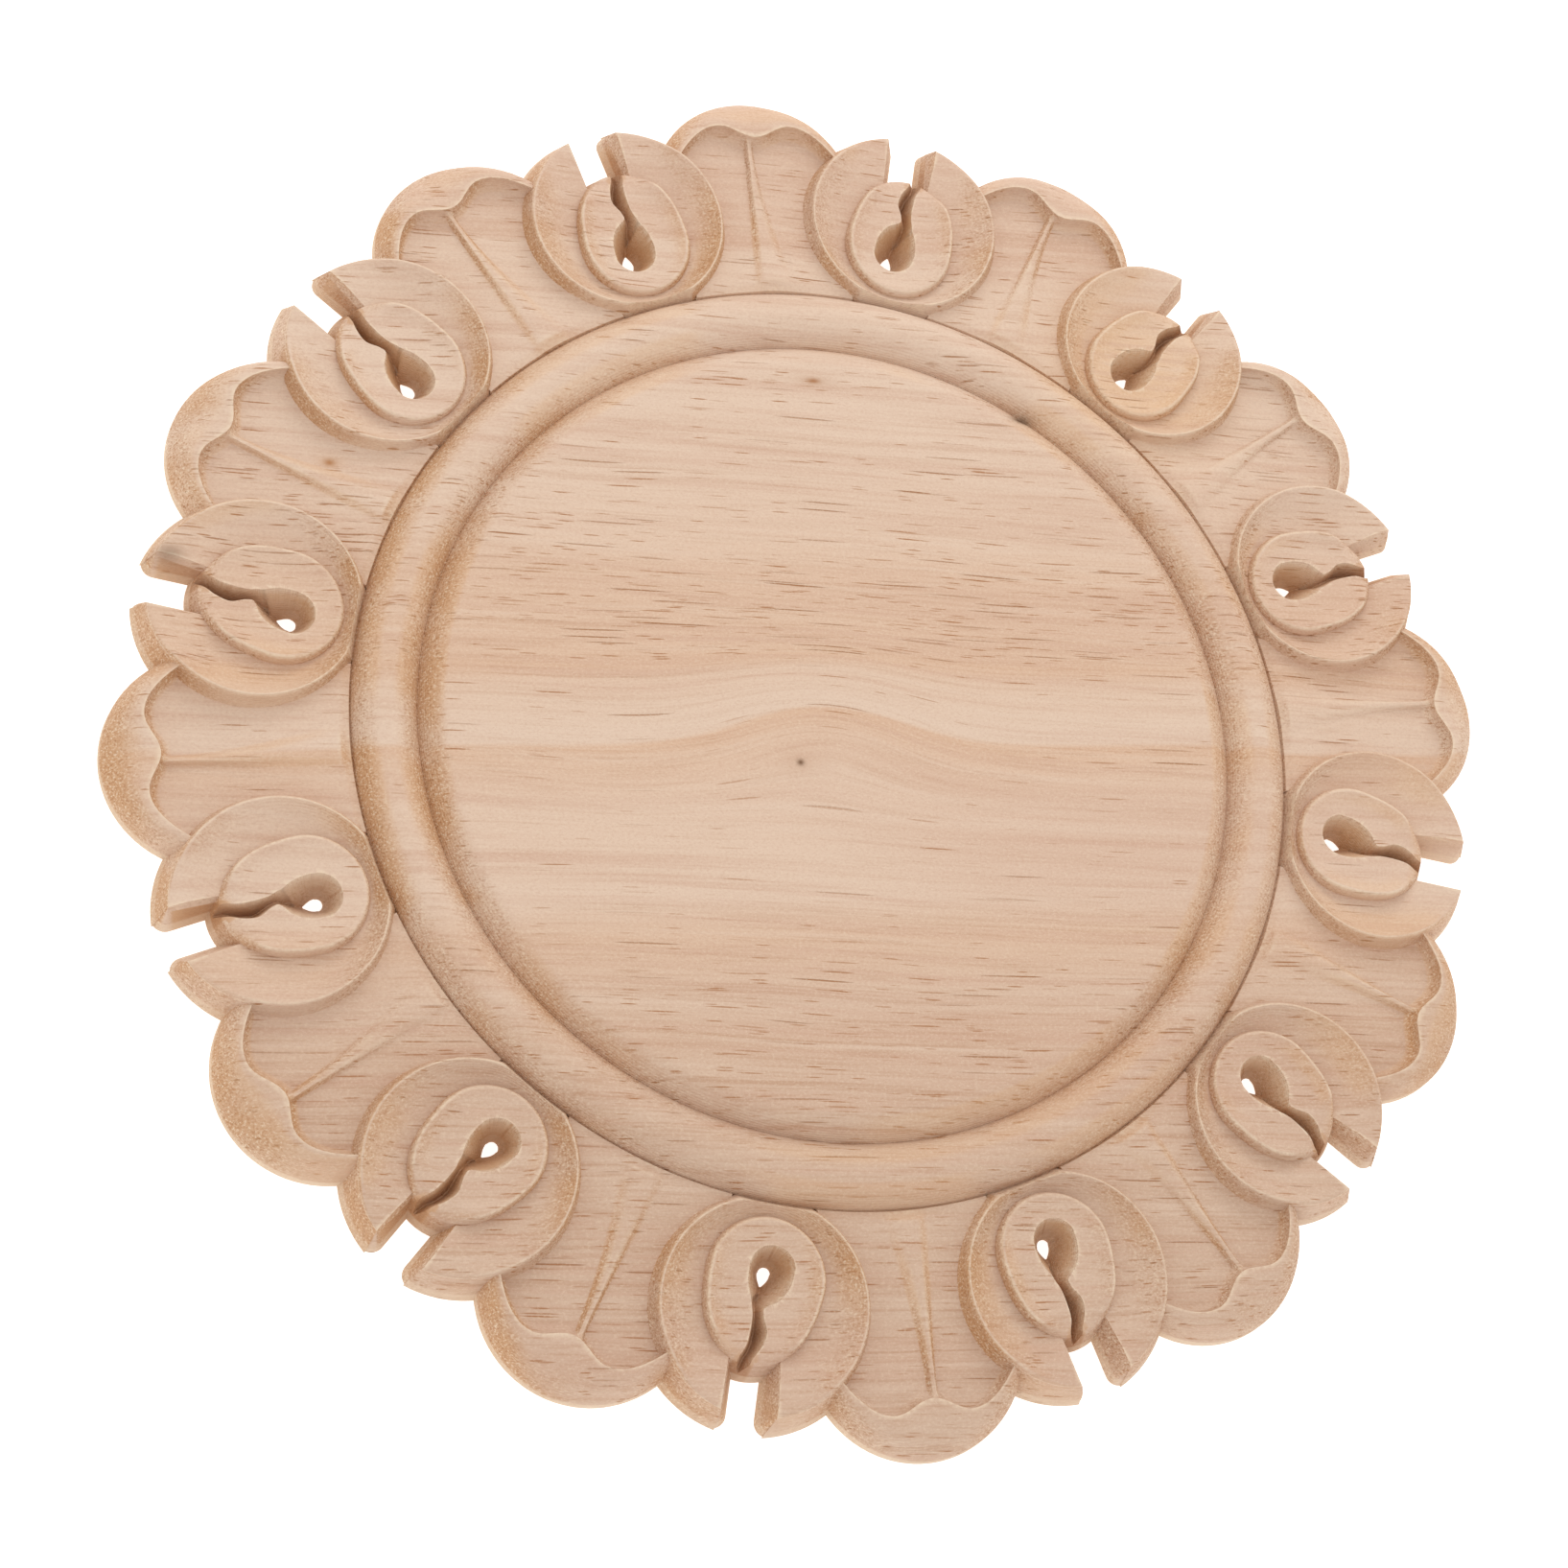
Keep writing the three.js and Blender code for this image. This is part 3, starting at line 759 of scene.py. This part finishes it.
def wood_material(look):
    material = bpy.data.materials.new("Carved rubberwood")
    material.use_nodes = True
    material.node_tree.nodes.clear()
    sheet = NodeSheet(material.node_tree)
    place = sheet.add("ShaderNodeTexCoord", output="Object")
    along = sheet.add("ShaderNodeMapping", inputs={
        "Vector": place, "Rotation": (0.0, 0.0, -look.grain_turn)})

    def scaled(x, y, z, source=along):
        return sheet.add("ShaderNodeVectorMath", {"operation": "MULTIPLY"},
                         {0: source, 1: (x, y, z)})

    def noise(vector, detail=2.0, roughness=0.5):
        return sheet.add("ShaderNodeTexNoise", {"noise_dimensions": "3D"}, {
            "Vector": vector, "Scale": 1.0, "Detail": detail, "Roughness": roughness})

    def between(value, low, high):
        return sheet.add("ShaderNodeMapRange", {"interpolation_type": "SMOOTHSTEP"}, {
            "Value": value, "From Min": low, "From Max": high})

    def mix(part, first, second):
        return sheet.add("ShaderNodeMix", {"data_type": "RGBA"},
                         {0: part, 6: first, 7: second}, output=2)

    def apart(vector):
        return sheet.add("ShaderNodeSeparateXYZ", inputs={"Vector": vector})

    def bell(value, middle, wide):
        off = (value - middle) / wide
        return sheet.add("ShaderNodeMath", {"operation": "EXPONENT"}, {0: -(off * off)})

    def noted(name):
        return sheet.add("ShaderNodeAttribute", {"attribute_name": name}, output="Fac")

    def solid(rgb):
        return (*rgb, 1.0)

    # The growth rings run along the grain, wander a little and swell over the middle
    spot = apart(along)
    across = spot.other("Y")
    swell_at, swell_long, swell_wide, swell_high = SWELL
    swell = bell(spot, swell_at, swell_long) * bell(across, 0.0, swell_wide) * swell_high
    wander = noise(scaled(8, 26, 30), 2.0) - 0.5
    level = across - swell - spot * 0.05 + wander * (5 * MM)
    shift = sheet.add("ShaderNodeCombineXYZ", inputs={"Y": wander * (7 * MM) - swell})
    grain = sheet.add("ShaderNodeVectorMath", {"operation": "ADD"}, {0: along, 1: shift})

    rings = sheet.add("ShaderNodeValToRGB", {
        "stops": [(0.5 + 0.5 * far / BAND_REACH, shares) for far, *shares in BANDS]},
        {"Fac": level * (0.5 / (BAND_REACH * MM)) + 0.5})
    rings = sheet.add("ShaderNodeSeparateColor", inputs={"Color": rings})
    tone = rings.other("Red")
    crowd = rings.other("Green")
    lined = rings.other("Blue")

    # Bands and the darker lower edge, the stain, pinkish clouds, and streaks and lines along the
    # grain
    streaks = noise(scaled(9, 420, 260, grain), 4.0, 0.65)
    fine = noise(scaled(45, 1600, 900, grain), 2.0, 0.6)
    clouds = between(noise(scaled(3, 26, 20, grain)), 0.52, 0.7)
    rosy = 0.5 * between(level, *PINK_EDGE) + 0.6 * clouds
    stain = bell(spot, STAIN[0], STAIN[2]) * bell(across, STAIN[1], STAIN[2])
    lines = between(noise(scaled(7, 760, 330, grain), 3.0, 0.55), 0.54, 0.7)
    base = mix(tone, solid(look.pale), solid(look.tan))
    # Darker toward the lower edge
    base = mix(between(level, *LOWER_DARK_EDGE) * 0.5, base, solid(look.lower_dark))
    base = mix(stain * 0.5, base, solid(look.golden))
    base = mix(rosy * 0.7, base, solid(look.rose))
    base = mix(between(streaks, 0.45, 0.72) * 0.55, base, solid(look.rose))
    base = mix(between(streaks, 0.5, 0.28) * 0.45, base, solid(look.pale))
    base = mix(between(fine, 0.46, 0.72) * (0.08 + 0.12 * tone), base, solid(look.pore))
    base = mix(lines * lined * 0.3, base, solid(look.pore))

    # Pores are long thin cells along the grain, which show as dots where a slope cuts them. The
    # largest ones are pits.
    crowd = crowd * (0.55 + 0.75 * between(noise(scaled(10, 60, 60, grain), 2.0), 0.4, 0.68))
    pore = 0.0
    pits = None
    for scale, reach, rarity in PORES:
        cells = sheet.add("ShaderNodeTexVoronoi", {"feature": "F1"}, {
            "Vector": scaled(*scale, grain), "Scale": 1.0, "Randomness": 1.0})
        chance = sheet.add("ShaderNodeSeparateColor", inputs={"Color": cells.other("Color")})
        there = between(chance + crowd * 0.8, rarity, rarity + 0.3)
        there = there * (0.45 + 0.55 * chance.other("Green"))
        pore = pore + between(cells, reach, 0.55 * reach) * there
        pits = pits or pore
    pore = sheet.add("ShaderNodeMath", {"operation": "MINIMUM"}, {0: pore, 1: 1.0})
    base = mix(pore * 0.95, base, solid(look.pore))

    # Slopes are yellow in places, and warmer and rough with lint where they cut across the grain
    normal = sheet.add("ShaderNodeNewGeometry", output="Normal")
    facing = (math.cos(look.grain_turn), math.sin(look.grain_turn), 0.0)
    end = between(abs(sheet.add("ShaderNodeVectorMath", {"operation": "DOT_PRODUCT"},
                                {0: normal, 1: facing}, output="Value")), 0.12, 0.75)
    steep = between(apart(normal).other("Z"), 0.97, 0.75)
    speck = noise(scaled(1500, 2300, 2300), 2.0, 0.7)
    warm = between(noise(scaled(45, 60, 60), 2.0) - spot * 0.4, 0.42, 0.66)
    slope = between(apart(normal).other("Z"), 0.995, 0.93)
    patch = between(noise(scaled(22, 34, 34), 2.0), 0.48, 0.62)
    base = mix(slope * patch * 0.2, base, solid(look.golden))
    base = mix(end * (0.22 + 0.62 * warm), base, solid(look.flank))
    base = mix((0.5 * end + 0.12) * between(speck, 0.52, 0.66), base, solid(look.pore))
    base = mix((0.55 * end + 0.25) * between(speck, 0.47, 0.32), base, solid(look.lint_and_highlight))

    # Crests get a painted highlight mixed with light lint, and the cuts of the keyholes are warmer
    # with end grain and darker with burn and painted shade
    lint_and_highlight = between(noise(scaled(900, 900, 900), 2.0, 0.6), 0.34, 0.6)
    # Painted highlight along sharp crests, mixed with lint
    base = mix(noted("crest") * (0.25 + 0.5 * lint_and_highlight), base, solid(look.lint_and_highlight))
    deep = noted("deep")
    base = mix(between(deep, 0.0, 0.14) * (0.35 + 0.4 * warm), base, solid(look.flank))
    # Painted shade with some real burn: deeper in the keyhole the wood darkens toward the pore
    # colour
    base = mix(between(deep, 0.06, 0.6) * (0.2 + 0.45 * speck), base, solid(look.pore))

    # Upright walls near the back get painted light, paler as if lit by the bright floor
    upright = between(apart(normal).other("Z"), 0.5, 0.25)
    floor_lit_wall = between(apart(place).other("Z"), 2.5 * MM, 1.9 * MM) * upright
    base = mix(floor_lit_wall * 0.55, base, solid(look.lint_and_highlight))

    # Knots and marks
    for mark_along, mark_across, long, wide, depth, tint in MARKS:
        reach = bell(spot, mark_along * MM, long * MM) * bell(across, mark_across * MM, wide * MM)
        base = mix(reach * depth, base, solid(getattr(look, tint)))

    shader = sheet.add("ShaderNodeBsdfPrincipled", inputs={
        "Base Color": base, "Roughness": look.roughness, "IOR": 1.45,
        "Specular IOR Level": 0.3})
    ridges = sheet.add("ShaderNodeMath", {"operation": "SINE"},
                       {0: apart(place).other("Z") * (2 * math.pi / TOOL_LINES)})
    relief = speck * (0.5 + 0.9 * end) - pits * 1.2 + ridges * steep * 0.16
    bump = sheet.add("ShaderNodeBump", inputs={
        "Height": relief, "Strength": 0.55, "Distance": 0.3 * MM})
    sheet.put(shader.socket.node.inputs["Normal"], bump)
    sheet.add("ShaderNodeOutputMaterial", inputs={"Surface": shader})
    return material


def floor_material(look):
    material = bpy.data.materials.new("Pale floor")
    material.use_nodes = True
    material.node_tree.nodes.clear()
    sheet = NodeSheet(material.node_tree)
    shader = sheet.add("ShaderNodeBsdfPrincipled", inputs={
        "Base Color": (*look.floor, 1.0), "Roughness": 0.9, "Specular IOR Level": 0.0,
        "Emission Color": (1.0, 1.0, 1.0, 1.0), "Emission Strength": 0.6})
    sheet.add("ShaderNodeOutputMaterial", inputs={"Surface": shader})
    return material


# ---------------------------------------------------------------- operators

def helper(name):
    found = bpy.data.objects.get(name)
    if found is None:
        raise RuntimeError(f"{name} has to be made first")
    return found


class ROSETTE_OT_petal(bpy.types.Operator):
    """Carve one petal with its curled rim and its vein"""
    bl_idname = "rosette.petal"
    bl_label = "Carve petal"

    def execute(self, context):
        make_petal(context.scene.rosette_sizes)
        return {"FINISHED"}


class ROSETTE_OT_bud(bpy.types.Operator):
    """Carve one bud: two leaves, the heart between them and its pierced keyhole"""
    bl_idname = "rosette.bud"
    bl_label = "Carve bud"

    def execute(self, context):
        s = context.scene.rosette_sizes
        bud = trim(make_leaves(s), make_gap_cutter(s))
        trim(bud, make_heart(s), operation="UNION")
        trim(bud, make_keyhole_cutter(s)).name = "bud"
        return {"FINISHED"}


class ROSETTE_OT_disc(bpy.types.Operator):
    """Turn the disc with its bead ring, and the cone that cuts the outer groove"""
    bl_idname = "rosette.disc"
    bl_label = "Turn disc"

    def execute(self, context):
        s = context.scene.rosette_sizes
        groove = s.groove / 2 - s.groove_inset
        inner = s.groove / 2 - s.bead_width
        shoulder = inner - s.disc_edge
        profile = [(groove, 0.0), (groove, s.groove_floor)]
        half = (groove - inner) / 2
        rise = s.bead - (s.groove_floor + s.inner_floor) / 2
        bow = (half ** 2 + rise ** 2) / (2 * rise)
        for off in np.linspace(half, -half, BEAD_STEPS + 1)[1:-1]:
            base = s.inner_floor + (s.groove_floor - s.inner_floor) * (half + off) / (2 * half)
            arch = (math.sqrt(bow ** 2 - off ** 2) - bow + rise) / rise
            profile.append((groove - half + off, base + (s.bead - base) * arch))
        for part in np.linspace(0, 1, DISC_EDGE_STEPS + 1):
            profile.append((inner + (shoulder - inner) * part,
                            s.disc - (s.disc - s.inner_floor) * (1 - part) ** 2))
        profile += [(shoulder - CLEAR, s.disc), (shoulder / 2, s.disc), (shoulder / 8, s.disc)]
        turned("disc", profile)
        flare = s.cut_slope * (CUTTER_TOP - s.groove_floor)
        turned("groove", [(groove / 2, s.groove_floor), (groove, s.groove_floor),
                          (groove + flare, CUTTER_TOP), (groove / 2, CUTTER_TOP)])
        return {"FINISHED"}


class ROSETTE_OT_whole(bpy.types.Operator):
    """Set petals and buds round the disc, join them into one piece and give it its wood"""
    bl_idname = "rosette.whole"
    bl_label = "Join rosette"

    def execute(self, context):
        s = context.scene.rosette_sizes
        wood = wood_material(context.scene.rosette_wood)
        piece = grow_from_tree("carved_wood", rosette_tree(wood), {
            "Petals": s.petals, "Petal": helper("petal"), "Bud": helper("bud"),
            "Groove": helper("groove"), "Disc": helper("disc"), "Wood": wood})
        for name in ("petal", "bud", "groove", "disc"):
            bpy.data.objects.remove(helper(name))
        points = np.empty(len(piece.data.vertices) * 3)
        piece.data.vertices.foreach_get("co", points)
        note_crest_highlights(piece.data, points.reshape(-1, 3))
        note_keyholes(piece.data, points.reshape(-1, 3), s)
        piece.data.shade_smooth()
        piece.data.set_sharp_from_angle(angle=SHARP_ANGLE)
        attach(piece, "root")
        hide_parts(NODE)
        return {"FINISHED"}


class ROSETTE_OT_stage(bpy.types.Operator):
    """Lay the pale floor, hang the soft lights and set up the camera"""
    bl_idname = "rosette.stage"
    bl_label = "Set stage"

    def execute(self, context):
        scene = context.scene
        look = scene.rosette_studio
        mesh = bpy.data.meshes.new("floor")
        low = LOW.z - FLOOR_DROP
        corners = [(x * FLOOR_REACH, y * FLOOR_REACH, low)
                   for x, y in ((-1, -1), (1, -1), (1, 1), (-1, 1))]
        mesh.from_pydata(corners, [], [(0, 1, 2, 3)])
        mesh.materials.append(floor_material(look))
        floor = bpy.data.objects.new("floor", mesh)
        scene.collection.objects.link(floor)

        world = bpy.data.worlds.new("Studio")
        world.use_nodes = True
        world.node_tree.nodes.clear()
        sheet = NodeSheet(world.node_tree)
        sky = sheet.add("ShaderNodeBackground", inputs={
            "Color": (1.0, 1.0, 1.0, 1.0), "Strength": look.sky})
        sheet.add("ShaderNodeOutputWorld", inputs={"Surface": sky})
        scene.world = world

        lamp = bpy.data.lights.new("key", "AREA")
        lamp.shape = "DISK"
        lamp.size = KEY_SIZE
        lamp.energy = look.key_power
        key = bpy.data.objects.new("key", lamp)
        key.location = KEY_PLACE
        key.rotation_euler = (-Vector(KEY_PLACE)).to_track_quat("-Z", "Y").to_euler()
        scene.collection.objects.link(key)

        camera = bpy.data.cameras.new("camera")
        camera.sensor_width = 36.0
        camera.sensor_fit = "HORIZONTAL"
        camera.lens = look.lens
        camera.clip_start = 0.01
        view = bpy.data.objects.new("camera", camera)
        view.location = CAMERA_PLACE
        view.rotation_euler = Euler([math.radians(turn) for turn in CAMERA_TURN])
        scene.collection.objects.link(view)
        scene.camera = view
        scene.view_settings.view_transform = "Standard"
        return {"FINISHED"}


class ROSETTE_PT_panel(bpy.types.Panel):
    """Sizes, wood and studio of the rosette, and the steps that make it"""
    bl_idname = "ROSETTE_PT_panel"
    bl_label = "Rosette"
    bl_space_type = "VIEW_3D"
    bl_region_type = "UI"
    bl_category = "Rosette"

    def draw(self, context):
        layout = self.layout
        for group in (context.scene.rosette_sizes, context.scene.rosette_wood,
                      context.scene.rosette_studio):
            box = layout.box()
            for name in group.__annotations__:
                box.prop(group, name)
        for step in STEPS:
            layout.operator(step.bl_idname)


STEPS = (ROSETTE_OT_petal, ROSETTE_OT_bud, ROSETTE_OT_disc, ROSETTE_OT_whole, ROSETTE_OT_stage)
GROUPS = {"rosette_sizes": RosetteSizes, "rosette_wood": WoodLook, "rosette_studio": StudioLook}


def register():
    for kind in (*GROUPS.values(), *STEPS, ROSETTE_PT_panel):
        bpy.utils.register_class(kind)
    for name, kind in GROUPS.items():
        setattr(bpy.types.Scene, name, PointerProperty(type=kind))


def unregister():
    for name in GROUPS:
        delattr(bpy.types.Scene, name)
    for kind in reversed((*GROUPS.values(), *STEPS, ROSETTE_PT_panel)):
        bpy.utils.unregister_class(kind)


def main():
    register()
    bpy.ops.rosette.petal()
    bpy.ops.rosette.bud()
    bpy.ops.rosette.disc()
    bpy.ops.rosette.whole()
    bpy.ops.rosette.stage()


if __name__ == "__main__":
    main()
